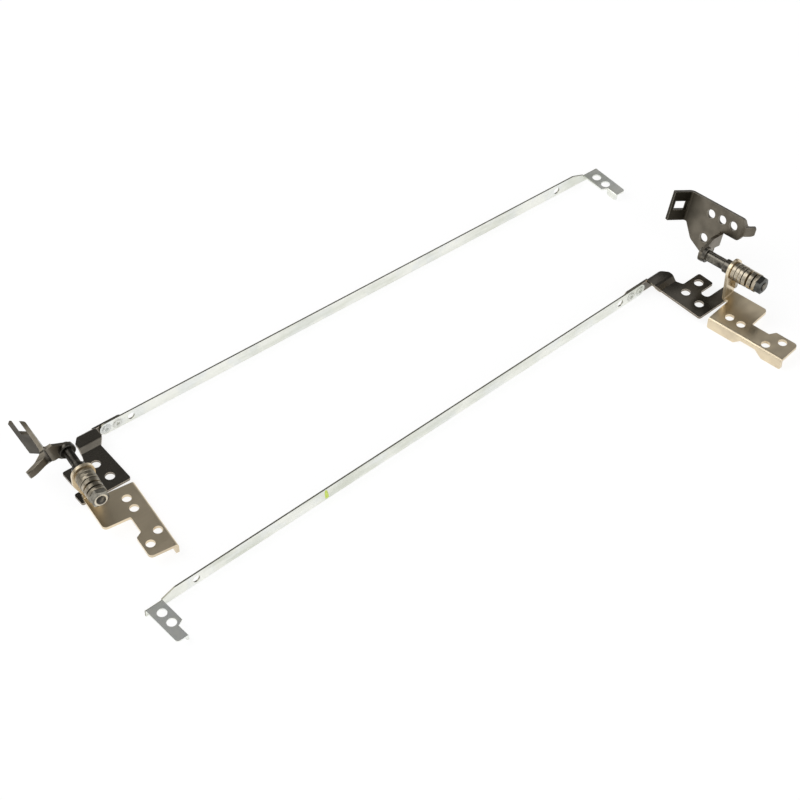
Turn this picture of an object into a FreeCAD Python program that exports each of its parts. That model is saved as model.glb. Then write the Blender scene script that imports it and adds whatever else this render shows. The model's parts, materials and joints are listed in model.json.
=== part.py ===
import FreeCAD, Part
import math
import os

import Sketcher

# A pair of laptop hinges with their display side rails, laid out loose on a table.
# Every hinge and every rail is described in its own frame: a runs along the hinge shaft from the
# base arm to the end nut, r runs from the shaft towards the far end of the rail, and z points up.
# The left set has r along +Y and the right set has r along -Y, so hand is +1 or -1.

DIMENSIONS = {
    # Layout on the table, one mirrored set per side
    "left_set_x": -53.15,
    "left_set_y": -74.49,
    "right_set_x": 5.63,
    "right_set_y": 73.69,
    "set_angle": 1.75,
    "lie_along": 7.1,
    "lie_across": -5.95,
    "hinge_angle": 6.1,

    # Shaft line above the table and behind the first bracket hole
    "shaft_across": -9.5,
    "shaft_height": 13.7,
    "left_lean_angle": 17.2,
    "right_lean_angle": 18.0,

    # Running and seating clearances
    "running_fit": 0.05,
    "face_gap": 0.10,
    "seat_fit": 0.02,
    "edge_break": 0.2,

    # Lid bracket, folded from one sheet
    "bracket_stock": 1.0,
    "bracket_top": 4.0,
    "bracket_start": -4.8,
    "bracket_end": 23.2,
    "bracket_front": 4.9,
    "bracket_back": -10.8,
    "inner_lobe_end": 7.0,
    "neck_back": -2.2,
    "neck_end": 13.6,
    "outer_lobe_start": 14.9,
    "outer_lobe_back": -4.3,
    "lobe_corner": 1.4,
    "small_corner": 0.6,
    "bracket_bend": 0.15,
    "bracket_hole": 2.9,
    "hole_two_along": 4.48,
    "hole_two_across": 0.17,
    "hole_three_along": 15.46,
    "hole_three_across": 2.25,
    "hole_four_along": 18.91,
    "hole_four_across": -1.91,
    "leg_one_end": 5.3,
    "leg_slope": 2.6,
    "leg_two_start": 16.0,
    "leg_recess": 2.3,

    # Upright ear of the lid bracket
    "ear_reach": 2.5,
    "ear_half_width": 3.7,
    "ear_head": 3.7,
    "ear_head_round": 3.55,
    "ear_foot_rise": 1.5,
    "ear_waist_drop": 3.0,
    "lock_hole": 1.5,
    "lock_drop": 5.6,

    # Shaft, turned from one bar
    "shaft_diameter": 3.6,
    "collar_diameter": 4.6,
    "collar_length": 2.6,
    "journal_diameter": 3.4,
    "thread_diameter": 3.0,
    "rivet_neck_diameter": 2.8,
    "rivet_head_diameter": 3.8,
    "rivet_head_height": 0.4,
    "hub_diameter": 5.2,
    "hub_length": 1.2,
    "shaft_flat": 1.5,
    "thread_stand": 0.3,

    # Friction stack between the ear and the nut
    "stack_diameter": 6.2,
    "friction_stock": 1.4,
    "tongue_past_pin": 1.0,
    "tongue_corner": 0.35,
    "thrust_stock": 1.3,
    "spacer_stock": 1.2,
    "spring_stock": 0.65,
    "spring_cone": 0.36,
    "spring_diameter": 6.0,
    "end_washer_stock": 1.2,
    "nut_flats": 5.3,
    "nut_height": 2.0,
    "nut_chamfer": 0.55,
    "nut_chamfer_height": 0.9,

    # Base arm, folded from one sheet
    "arm_stock": 1.2,
    "left_arm_offset": 5.0,
    "right_arm_offset": 8.6,
    "left_arm_top": 11.4,
    "right_arm_top": 12.8,
    "left_arm_foot": -1.6,
    "right_arm_foot": -4.8,
    "arm_shelf": 5.0,
    "arm_end": -12.4,
    "arm_bend": 0.8,
    "arm_corner": 1.2,
    "arm_tight_corner": 0.4,
    "belly_round": 3.2,
    "ear_plane": -18.5,
    "ear_bend": 1.0,
    "ear_crest": 4.6,
    "ear_crest_along": -2.8,
    "ear_round": 2.7,
    "ear_tip": 2.4,
    "ear_tip_round": 2.2,
    "ear_slope_end": 0.6,
    "left_neck_low": -1.2,
    "right_neck_low": 0.8,
    "ear_neck_end": -3.3,
    "arm_hole": 3.0,
    "arm_row_start": -24.5,
    "arm_row_pitch": 4.35,
    "arm_row_height": 8.9,
    "arm_low_hole_height": 0.1,
    "left_tab_angle": -75.0,
    "right_tab_angle": -63.0,
    "tab_bend": 1.6,
    "tab_round": 0.9,
    "left_tab_length": 7.4,
    "left_tab_low": 7.0,
    "left_tab_high": 9.9,
    "right_tab_length": 4.6,
    "right_tab_low": 6.9,
    "right_tab_high": 10.1,
    "left_flange_angle": -45.0,
    "right_flange_angle": 65.0,
    "right_flange_start": -33.4,
    "right_flange_length": 7.0,
    "right_window_low": 6.2,
    "right_window_high": 9.4,
    "left_flange_start": -25.6,
    "left_flange_length": 4.9,
    "left_slot_low": 5.9,
    "right_window_inset": 0.4,
    "right_window_width": 4.6,
    "left_flange_low": -4.6,
    "right_flange_low": 2.4,
    "left_slot_inset": 1.4,
    "left_slot_width": 1.7,

    # Rail strip, a thin strip standing on its edge with a flag folded off its far end
    "strip_stock": 0.5,
    "strip_height": 4.4,
    "strip_start": -11.0,
    "strip_nose": 2.1,
    "taper_past_hole": 7.4,
    "flag_height": 2.75,
    "flag_past_hole": 12.0,
    "flag_step_in": 1.8,
    "flag_width": 5.8,
    "flag_length": 14.6,
    "flag_notch": 9.2,
    "flag_slant": 0.9,
    "flag_hole": 3.0,
    "flag_hole_one": 3.65,
    "flag_hole_pitch": 4.45,
    "flag_hole_in": 2.8,
    "flag_corner": 1.0,
    "lip_bend": 0.45,
    "side_hole": 2.4,
    "side_hole_pitch": 170.0,
    "side_hole_height": 2.1,
    "strip_bend": 0.3,

    # Rail plate, joggled, with a tongue behind the strip
    "plate_stock": 0.8,
    "plate_raised": 4.4,
    "plate_low": 2.5,
    "ramp_start": 3.3,
    "ramp_end": 4.9,
    "plate_end": 21.5,
    "plate_front": -13.8,
    "shoulder_front": -12.3,
    "shoulder_back": -20.5,
    "tab_start": 7.3,
    "tab_end": 13.5,
    "plate_tab_back": -28.9,
    "slot_front": -22.3,
    "finger_start": 16.8,
    "finger_back": -30.6,
    "tongue_end": -2.6,
    "tongue_top": 4.0,
    "plate_bend": 0.5,
    "plate_corner": 0.8,
    "slot_corner": 1.5,
    "shoulder_cut_along": 1.6,
    "shoulder_cut_across": 2.4,
    "plate_hole": 3.0,
    "hole_a_along": 10.2,
    "hole_a_across": -25.5,
    "hole_b_along": 10.5,
    "hole_b_across": -19.15,
    "hole_c_along": 17.05,
    "hole_c_across": -18.35,

    # Clinch rivets that join strip and tongue
    "rivet_one": -8.9,
    "rivet_two": -4.85,
    "rivet_shank": 1.5,
    "rivet_face": 2.7,
    "rivet_lip": 0.3,
    "rivet_dimple": 1.2,
    "rivet_dimple_depth": 0.5,
}

SHEET = "Sizes"
SPRINGS = 4
ALL_ROUND = 360.0


class Size:
    """A number together with the sheet expression that gives it."""

    def __init__(self, number, text):
        self.number = number
        self.text = text

    def __add__(self, other):
        other = as_size(other)
        return Size(self.number + other.number, f"({self.text} + {other.text})")

    __radd__ = __add__

    def __sub__(self, other):
        other = as_size(other)
        return Size(self.number - other.number, f"({self.text} - {other.text})")

    def __rsub__(self, other):
        return as_size(other) - self

    def __mul__(self, factor):
        return Size(self.number * factor, f"({self.text} * {factor:.9f})")

    __rmul__ = __mul__

    def __truediv__(self, divisor):
        return self * (1.0 / divisor)

    def __neg__(self):
        return self * -1.0


def as_size(value):
    """Numbers become sizes with a constant expression."""
    return value if isinstance(value, Size) else Size(float(value), f"{float(value):.9f}")


def make_sheet(document):
    """Writes the driving dimensions to the sheet and gives each one back as a size."""
    sheet = document.addObject("Spreadsheet::Sheet", SHEET)
    for row, (alias, number) in enumerate(DIMENSIONS.items(), start=1):
        sheet.set(f"A{row}", str(number))
        sheet.setAlias(f"A{row}", alias)
    document.recompute()
    return {alias: Size(float(sheet.get(alias)), f"{SHEET}.{alias}") for alias in DIMENSIONS}


doc = FreeCAD.newDocument("LaptopHinges")
D = make_sheet(doc)


def degrees(alias):
    """Number of an angle in the sheet, in radians."""
    return math.radians(D[alias].number)


# Sketches and features

def new_body(label):
    body = doc.addObject("PartDesign::Body", label)
    body.Label = label
    return body


def origin_feature(body, role):
    return next(feature for feature in body.Origin.OriginFeatures if feature.Role == role)


def new_sketch(body, name, role, offset=0.0):
    """Sketch on one of the body's own planes, moved along that plane's normal by offset."""
    sketch = body.newObject("Sketcher::SketchObject", name)
    sketch.AttachmentSupport = [(origin_feature(body, role), "")]
    sketch.MapMode = "FlatFace"
    offset = as_size(offset)
    sketch.AttachmentOffset = FreeCAD.Placement(FreeCAD.Vector(0, 0, offset.number), FreeCAD.Rotation())
    sketch.setExpression("AttachmentOffset.Base.z", offset.text)
    return sketch


def bind(sketch, kind, *where, size):
    """Adds a dimension to a sketch and ties it to the sheet."""
    number = sketch.addConstraint(Sketcher.Constraint(kind, *where, size.number))
    sketch.setExpression(f"Constraints[{number}]", size.text)


def fix_point(sketch, index, place, x, y):
    bind(sketch, "DistanceX", -1, 1, index, place, size=as_size(x))
    bind(sketch, "DistanceY", -1, 1, index, place, size=as_size(y))


def add_circle(sketch, x, y, diameter):
    centre = FreeCAD.Vector(as_size(x).number, as_size(y).number, 0)
    diameter = as_size(diameter)
    circle = Part.Circle(centre, FreeCAD.Vector(0, 0, 1), diameter.number / 2)
    index = sketch.addGeometry(circle)
    fix_point(sketch, index, 3, x, y)
    bind(sketch, "Diameter", index, size=diameter)


def corner_arc(before, corner, after, radius):
    """Tangent points, centre and turning sense of a rounded corner."""
    back = (before - corner).normalize()
    ahead = (after - corner).normalize()
    half = math.acos(max(-1.0, min(1.0, back.dot(ahead)))) / 2
    reach = radius / math.tan(half)
    middle = (back + ahead).normalize()
    centre = corner + middle * (radius / math.sin(half))
    turns_left = (corner - before).cross(after - corner).z > 0
    return corner + back * reach, corner + ahead * reach, centre, turns_left


def add_outline(sketch, corners):
    """Closed outline of straight lines. A corner is (x, y) or, where it is rounded, (x, y, radius)."""
    count = len(corners)
    points = [FreeCAD.Vector(as_size(c[0]).number, as_size(c[1]).number, 0) for c in corners]
    starts, ends, arcs = list(points), list(points), {}
    for i, corner in enumerate(corners):
        if len(corner) == 3:
            radius = as_size(corner[2])
            following = points[(i + 1) % count]
            arrive, leave, centre, left = corner_arc(points[i - 1], points[i], following, radius.number)
            starts[i], ends[i] = leave, arrive
            arcs[i] = (centre, left, radius)
    lines = [sketch.addGeometry(Part.LineSegment(starts[i], ends[(i + 1) % count])) for i in range(count)]
    for i, corner in enumerate(corners):
        before, after = lines[i - 1], lines[i]
        if i not in arcs:
            sketch.addConstraint(Sketcher.Constraint("Coincident", before, 2, after, 1))
            fix_point(sketch, after, 1, corner[0], corner[1])
            continue
        centre, left, radius = arcs[i]
        first, last = (ends[i], starts[i]) if left else (starts[i], ends[i])
        angles = [math.atan2(p.y - centre.y, p.x - centre.x) for p in (first, last)]
        circle = Part.Circle(centre, FreeCAD.Vector(0, 0, 1), radius.number)
        arc = sketch.addGeometry(Part.ArcOfCircle(circle, angles[0], angles[1]))
        arrive, leave = (1, 2) if left else (2, 1)
        sketch.addConstraint(Sketcher.Constraint("Tangent", before, 2, arc, arrive))
        sketch.addConstraint(Sketcher.Constraint("Tangent", arc, leave, after, 1))
        bind(sketch, "Radius", arc, size=radius)
        point = sketch.addGeometry(Part.Point(points[i]), True)
        sketch.addConstraint(Sketcher.Constraint("PointOnObject", point, 1, before))
        sketch.addConstraint(Sketcher.Constraint("PointOnObject", point, 1, after))
        fix_point(sketch, point, 1, corner[0], corner[1])


def add_pad(body, sketch, length, back=False):
    """Solid raised from a sketch along its plane's normal, or against it."""
    pad = body.newObject("PartDesign::Pad", sketch.Name + "Pad")
    pad.Profile = sketch
    pad.setExpression("Length", as_size(length).text)
    pad.Reversed = back
    return pad


def add_through_cut(body, sketch):
    """Cut on both sides of a sketch through the whole body."""
    pocket = body.newObject("PartDesign::Pocket", sketch.Name + "Cut")
    pocket.Profile = sketch
    pocket.SideType = "Symmetric"
    pocket.Type = "ThroughAll"
    return pocket


def add_cut(body, sketch, length):
    """Cut against the sketch plane's normal."""
    pocket = body.newObject("PartDesign::Pocket", sketch.Name + "Cut")
    pocket.Profile = sketch
    pocket.setExpression("Length", as_size(length).text)
    return pocket


def towards(corner, neighbour, reach):
    """Point that lies a reach away from a corner, on the straight way to its neighbour."""
    steps = [as_size(there).number - as_size(here).number for here, there in zip(corner, neighbour[:2])]
    signs = [(step > 0) - (step < 0) for step in steps]
    return tuple(here + reach * sign for here, sign in zip(corner, signs))


def add_turning(body, name, corners):
    """Turned solid. A corner is (along the shaft, radius) or, with a broken edge, (along, radius, bevel)."""
    profile = []
    for i, corner in enumerate(corners):
        if len(corner) == 2:
            profile.append(corner)
            continue
        along, radius, bevel = corner
        for neighbour in (corners[i - 1], corners[i + 1]):
            profile.append(towards((along, radius), neighbour, bevel))
    sketch = new_sketch(body, name, "XY_Plane")
    add_outline(sketch, profile)
    turning = body.newObject("PartDesign::Revolution", name + "Turned")
    turning.Profile = sketch
    turning.ReferenceAxis = (origin_feature(body, "X_Axis"), [""])
    turning.Angle = ALL_ROUND
    return turning


def add_bend(body, feature, name, along, places, radius):
    """Rounds the straight edges that run along one axis through the given places."""
    doc.recompute()
    others = [axis for axis in "xyz" if axis != along]
    names = []
    for index, edge in enumerate(feature.Shape.Edges, start=1):
        if len(edge.Vertexes) != 2:
            continue
        first, last = (vertex.Point for vertex in edge.Vertexes)
        for place in places:
            ends = [getattr(p, axis) - place[axis] for p in (first, last) for axis in others]
            if max(abs(gap) for gap in ends) < 1e-4:
                names.append(f"Edge{index}")
    if not names:
        raise RuntimeError(f"{body.Label}: no edge found for {name}")
    bend = body.newObject("PartDesign::Fillet", name)
    bend.Base = (feature, names)
    bend.setExpression("Radius", as_size(radius).text)
    doc.recompute()
    if "Invalid" in bend.State:
        raise RuntimeError(f"{body.Label}: {name} can't be rounded")
    return bend


def turn_about(axis, angle):
    return FreeCAD.Placement(FreeCAD.Vector(), FreeCAD.Rotation(axis, angle))


def shift(x, y, z):
    return FreeCAD.Placement(FreeCAD.Vector(*(as_size(v).number for v in (x, y, z))), FreeCAD.Rotation())


UP = FreeCAD.Vector(0, 0, 1)
ALONG = FreeCAD.Vector(1, 0, 0)


# Shared positions along the shaft, each worked out from the one before it
EAR_OUT = D["bracket_start"] - D["ear_reach"]
EAR_IN = EAR_OUT + D["bracket_stock"]
FRICTION_START = EAR_IN
FRICTION_END = FRICTION_START + D["friction_stock"]
THRUST_START = FRICTION_END + D["face_gap"]
THRUST_END = THRUST_START + D["thrust_stock"]
SPRING_PITCH = D["spring_stock"] + D["spring_cone"]
SPRING_START = THRUST_END + D["spacer_stock"]
SPRING_END = SPRING_START + SPRING_PITCH * SPRINGS
END_WASHER_END = SPRING_END + D["end_washer_stock"]
NUT_END = END_WASHER_END + D["nut_height"]
COLLAR_END = EAR_OUT - D["face_gap"]
COLLAR_START = COLLAR_END - D["collar_length"]
ARM_EAR_IN = D["ear_plane"] + D["arm_stock"] / 2
ARM_EAR_OUT = D["ear_plane"] - D["arm_stock"] / 2
ARM_NECK = ARM_EAR_OUT - D["ear_bend"]
HUB_END = ARM_EAR_IN + D["hub_length"]
JOURNAL_BORE = D["journal_diameter"] + D["running_fit"] * 2
BRACKET_UNDER = D["bracket_top"] - D["bracket_stock"]
HINGE_ALONG = D["plate_end"] + D["lie_along"]
HINGE_ACROSS = D["plate_front"] + D["lie_across"]
TAPER_START = D["side_hole_pitch"] + D["taper_past_hole"]
FLAG_START = D["side_hole_pitch"] + D["flag_past_hole"]
FLAG_STEP = FLAG_START + D["flag_step_in"]
FLAG_END = FLAG_START + D["flag_width"]
FLAG_HOLES = FLAG_START + D["flag_hole_in"]


def lid_bracket(label, hand):
    """Flat screw plate with two lobes, a leg flange folded down and an ear folded up."""
    body = new_body(label)
    front, back = D["bracket_front"] * hand, D["bracket_back"] * hand
    ear_front = (D["shaft_across"] + D["ear_half_width"]) * hand
    ear_back = (D["shaft_across"] - D["ear_half_width"]) * hand
    neck, lobe_back = D["neck_back"] * hand, D["outer_lobe_back"] * hand

    plate = new_sketch(body, label + "Plate", "XY_Plane", BRACKET_UNDER)
    add_outline(plate, [
        (D["bracket_start"], front),
        (D["bracket_start"], ear_front),
        (EAR_OUT, ear_front),
        (EAR_OUT, back),
        (D["inner_lobe_end"], back, D["lobe_corner"]),
        (D["inner_lobe_end"], neck, D["small_corner"]),
        (D["neck_end"], neck, D["small_corner"]),
        (D["outer_lobe_start"], lobe_back, D["small_corner"]),
        (D["bracket_end"], lobe_back, D["lobe_corner"]),
        (D["bracket_end"], front),
    ])
    holes = [(0.0, 0.0)]
    holes += [(D[f"hole_{n}_along"], D[f"hole_{n}_across"] * hand) for n in ("two", "three", "four")]
    for along, across in holes:
        add_circle(plate, along, across, D["bracket_hole"])
    add_pad(body, plate, D["bracket_stock"])

    legs = new_sketch(body, label + "Legs", "XZ_Plane", -front)
    add_outline(legs, [
        (D["bracket_start"], D["bracket_top"]),
        (D["bracket_start"], 0.0, D["small_corner"]),
        (D["leg_one_end"], 0.0, D["small_corner"]),
        (D["leg_one_end"] + D["leg_slope"], D["leg_recess"]),
        (D["leg_two_start"] - D["leg_slope"], D["leg_recess"]),
        (D["leg_two_start"], 0.0, D["small_corner"]),
        (D["bracket_end"], 0.0, D["small_corner"]),
        (D["bracket_end"], D["bracket_top"]),
    ])
    add_pad(body, legs, D["bracket_stock"], back=hand < 0)

    ear = new_sketch(body, label + "Ear", "YZ_Plane", EAR_OUT)
    across = D["shaft_across"] * hand
    head_top = D["shaft_height"] + D["ear_head"]
    add_outline(ear, [
        (back, BRACKET_UNDER),
        (ear_front, BRACKET_UNDER),
        (ear_front, head_top, D["ear_head_round"]),
        (ear_back, head_top, D["ear_head_round"]),
        (ear_back, D["shaft_height"] - D["ear_waist_drop"]),
        (back, D["bracket_top"] + D["ear_foot_rise"]),
    ])
    add_circle(ear, across, D["shaft_height"], JOURNAL_BORE)
    add_circle(ear, across, D["shaft_height"] - D["lock_drop"], D["lock_hole"])
    feature = add_pad(body, ear, D["bracket_stock"])

    outer = D["bracket_bend"] + D["bracket_stock"]
    top, under = D["bracket_top"].number, BRACKET_UNDER.number
    inner_wall = front.number - hand * D["bracket_stock"].number
    feature = add_bend(body, feature, label + "LegBend", "x", [{"y": front.number, "z": top}], outer)
    root = [{"y": inner_wall, "z": under}]
    feature = add_bend(body, feature, label + "LegRoot", "x", root, D["bracket_bend"])
    feature = add_bend(body, feature, label + "EarBend", "y", [{"x": EAR_OUT.number, "z": under}], outer)
    add_bend(body, feature, label + "EarRoot", "y", [{"x": EAR_IN.number, "z": top}], D["bracket_bend"])
    return body


def hinge_shaft(label):
    """Bar with a riveted head in the arm, a round waist, a collar, a journal and a threaded end."""
    body = new_body(label)
    head = ARM_EAR_OUT - D["rivet_head_height"]
    end = NUT_END + D["thread_stand"]
    add_turning(body, label + "Bar", [
        (head, 0.0),
        (head, D["rivet_head_diameter"] / 2, D["edge_break"]),
        (ARM_EAR_OUT, D["rivet_head_diameter"] / 2),
        (ARM_EAR_OUT, D["rivet_neck_diameter"] / 2),
        (ARM_EAR_IN, D["rivet_neck_diameter"] / 2),
        (ARM_EAR_IN, D["hub_diameter"] / 2),
        (HUB_END, D["hub_diameter"] / 2, D["edge_break"]),
        (HUB_END, D["shaft_diameter"] / 2),
        (COLLAR_START, D["shaft_diameter"] / 2),
        (COLLAR_START, D["collar_diameter"] / 2, D["edge_break"]),
        (COLLAR_END, D["collar_diameter"] / 2, D["edge_break"]),
        (COLLAR_END, D["journal_diameter"] / 2),
        (END_WASHER_END, D["journal_diameter"] / 2),
        (END_WASHER_END, D["thread_diameter"] / 2),
        (end, D["thread_diameter"] / 2, D["edge_break"]),
        (end, 0.0),
    ])
    flats = new_sketch(body, label + "Flats", "XY_Plane")
    clear = D["collar_diameter"] / 2
    for side in (1, -1):
        add_outline(flats, [
            (HUB_END, D["shaft_flat"] * side),
            (COLLAR_START, D["shaft_flat"] * side),
            (COLLAR_START, clear * side),
            (HUB_END, clear * side),
        ])
    add_through_cut(body, flats)
    return body


def plain_washer(label, start, stock, diameter):
    """Flat disc on the shaft with softened rims."""
    body = new_body(label)
    rim = D["edge_break"]
    add_turning(body, label + "Disc", [
        (start, JOURNAL_BORE / 2),
        (start, diameter / 2, rim),
        (start + stock, diameter / 2, rim),
        (start + stock, JOURNAL_BORE / 2),
    ])
    return body


def friction_washer(label):
    """Disc beside the ear whose pin sits in the ear's small hole, so that it can't turn."""
    body = plain_washer(label, FRICTION_START, D["friction_stock"], D["stack_diameter"])
    drop = D["lock_drop"]
    half = D["lock_hole"] / 2 - D["running_fit"]
    tongue = new_sketch(body, label + "Tongue", "YZ_Plane", FRICTION_START)
    add_outline(tongue, [
        (-half, -(drop + D["tongue_past_pin"]), D["tongue_corner"]),
        (half, -(drop + D["tongue_past_pin"]), D["tongue_corner"]),
        (half, -(D["stack_diameter"] / 2 - half)),
        (-half, -(D["stack_diameter"] / 2 - half)),
    ])
    add_pad(body, tongue, D["friction_stock"])
    pin = new_sketch(body, label + "Pin", "YZ_Plane", FRICTION_START)
    add_circle(pin, 0.0, -drop, half * 2)
    add_pad(body, pin, D["bracket_stock"], back=True)
    return body


def spring_washer(label, index):
    """Coned disc; neighbours face opposite ways, so their rims touch in pairs."""
    body = new_body(label)
    start = SPRING_START + SPRING_PITCH * index
    bore = JOURNAL_BORE / 2
    rim = D["spring_diameter"] / 2
    inner, outer = (0.0, D["spring_cone"]) if index % 2 == 0 else (D["spring_cone"], 0.0)
    add_turning(body, label + "Cone", [
        (start + inner, bore),
        (start + outer, rim),
        (start + outer + D["spring_stock"], rim),
        (start + inner + D["spring_stock"], bore),
    ])
    return body


def end_nut(label):
    """Hexagon nut with a chamfered outer end."""
    body = new_body(label)
    across_corners = D["nut_flats"] / math.cos(math.pi / 6)
    sketch = new_sketch(body, label + "Hexagon", "YZ_Plane", END_WASHER_END)
    corners = []
    for index in range(6):
        angle = math.pi / 3 * index + math.pi / 6
        corners.append((across_corners / 2 * math.cos(angle), across_corners / 2 * math.sin(angle)))
    add_outline(sketch, corners)
    add_circle(sketch, 0.0, 0.0, D["thread_diameter"] + D["seat_fit"] * 2)
    add_pad(body, sketch, D["nut_height"])
    ring = new_sketch(body, label + "Chamfer", "XY_Plane")
    clear = across_corners / 2 + D["nut_chamfer"]
    add_outline(ring, [
        (NUT_END, D["nut_flats"] / 2 - D["nut_chamfer"]),
        (NUT_END, clear),
        (NUT_END - D["nut_chamfer_height"], clear),
    ])
    groove = body.newObject("PartDesign::Groove", label + "Bevel")
    groove.Profile = ring
    groove.ReferenceAxis = (origin_feature(body, "X_Axis"), [""])
    groove.Angle = ALL_ROUND
    return body


def bent_strip(first, second, across, stock, first_fold, second_fold):
    """Outline of a strip with a fold at each end. A fold is (angle, length, inner radius) and turns
    towards the shaft where its angle is positive."""
    half = stock / 2
    upper, lower = [], []
    for way, place, (angle, length, radius) in ((-1, first, first_fold), (1, second, second_fold)):
        mitre, rise = half * (way * math.tan(angle / 2)), half * (way * math.sin(angle))
        end = (place + length * (way * math.cos(angle)), across + length * math.sin(angle))
        above, below = (radius, radius + stock) if angle > 0 else (radius + stock, radius)
        top = [(place - mitre, across + half, above), (end[0] - rise, end[1] + half * math.cos(angle))]
        bottom = [(place + mitre, across - half, below), (end[0] + rise, end[1] - half * math.cos(angle))]
        upper += top[::way]
        lower += bottom[::way]
    return upper + lower[::-1]


def base_arm(label, side, hand):
    """Screw plate with a side flange, a bent tab and an ear that carries the shaft."""
    body = new_body(label)
    flange_start, flange_length = D[f"{side}_flange_start"], D[f"{side}_flange_length"]
    offset, foot, top = (D[f"{side}_arm_{name}"] for name in ("offset", "foot", "top"))
    neck_low, flange_low = D[f"{side}_neck_low"], D[f"{side}_flange_low"]
    tab_length, tab_low, tab_high = (D[f"{side}_tab_{name}"] for name in ("length", "low", "high"))
    stock, ear = D["arm_stock"], D["ear_plane"]
    corner, tight = D["arm_corner"], D["arm_tight_corner"]
    middle = -(offset + stock / 2)

    bottom = foot if side == "right" else flange_low
    blank = new_sketch(body, label + "Blank", "XY_Plane", bottom)
    tab_angle = degrees(f"{side}_tab_angle")
    flange_fold = (degrees(f"{side}_flange_angle"), flange_length, D["arm_bend"])
    tab_fold = (tab_angle, tab_length, D["tab_bend"])
    outline = bent_strip(flange_start, D["arm_end"], middle, stock, flange_fold, tab_fold)
    add_outline(blank, [(c[0], c[1] * hand, *c[2:]) for c in outline])
    add_pad(body, blank, top - bottom)

    reach = flange_length + D["right_arm_offset"]
    trim = new_sketch(body, label + "Trim", "XZ_Plane")
    far, near = flange_start - reach, D["arm_end"] + reach
    low, high = bottom - reach, top + reach
    add_outline(trim, [(far, low), (near, low), (near, high), (far, high)])
    flange_edge = flange_start - flange_length
    tab_end = D["arm_end"] + tab_length * math.cos(tab_angle) + stock / 2
    row = D["arm_row_start"]
    holes = [(row + D["arm_row_pitch"] * index, D["arm_row_height"]) for index in (1, 2)]
    belly = []
    if side == "right":
        holes += [(row, D["arm_row_height"]), (row, D["arm_low_hole_height"])]
        belly = [((flange_start + row) / 2, foot / 2, D["belly_round"]), (row, foot, tight)]
    add_outline(trim, [
        (flange_edge, flange_low),
        (flange_start + corner, flange_low, tight),
        *belly,
        (ARM_NECK, foot),
        (ARM_NECK, D["arm_shelf"], tight),
        (D["arm_end"] - tight, D["arm_shelf"], corner),
        (D["arm_end"] + tight, tab_low, tight),
        (tab_end, tab_low, D["tab_round"]),
        (tab_end, tab_high, D["tab_round"]),
        (D["arm_end"] + tight, tab_high, tight),
        (D["arm_end"] - tight, top, corner),
        (flange_edge, top),
    ])
    for along, up in holes:
        add_circle(trim, along, up, D["arm_hole"])
    add_through_cut(body, trim)

    fold = new_sketch(body, label + "Fold", "XY_Plane", neck_low)
    root = -(offset - D["ear_bend"])
    inner, outer = ear - stock / 2, ear + stock / 2
    plate_in, plate_out = -offset, -(offset + stock)
    fold_outline = [
        (ARM_NECK - stock, plate_out),
        (outer, plate_out, D["ear_bend"] + stock),
        (outer, root + stock),
        (inner, root + stock),
        (inner, plate_in, D["ear_bend"]),
        (ARM_NECK - stock, plate_in),
    ]
    add_outline(fold, [(c[0], c[1] * hand, *c[2:]) for c in fold_outline])
    add_pad(body, fold, D["arm_shelf"] - neck_low)

    face = new_sketch(body, label + "Ear", "YZ_Plane", inner)
    ear_outline = [
        (root, neck_low),
        (D["ear_neck_end"], neck_low, tight),
        (-D["ear_tip"], -D["ear_round"], corner),
        (D["ear_tip"], -D["ear_round"], D["ear_tip_round"]),
        (D["ear_tip"], D["ear_slope_end"], corner),
        (D["ear_crest_along"], D["ear_crest"], corner),
        (root, D["arm_shelf"]),
    ]
    add_outline(face, [(c[0] * hand, c[1], *c[2:]) for c in ear_outline])
    add_circle(face, 0.0, 0.0, D["rivet_neck_diameter"] + D["seat_fit"] * 2)
    add_pad(body, face, stock)

    opening = new_sketch(body, label + "Opening", "YZ_Plane", flange_start + stock)
    if side == "right":
        first = D["right_window_inset"] - offset
        last, sill, ceiling = first + D["right_window_width"], D["right_window_low"], D["right_window_high"]
    else:
        first = -(offset + D["left_slot_inset"])
        last, sill, ceiling = first - D["left_slot_width"], D["left_slot_low"], top + stock
    corners = [(first, sill), (last, sill), (last, ceiling), (first, ceiling)]
    add_outline(opening, [(across * hand, up) for across, up in corners])
    add_cut(body, opening, reach)
    return body


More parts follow.
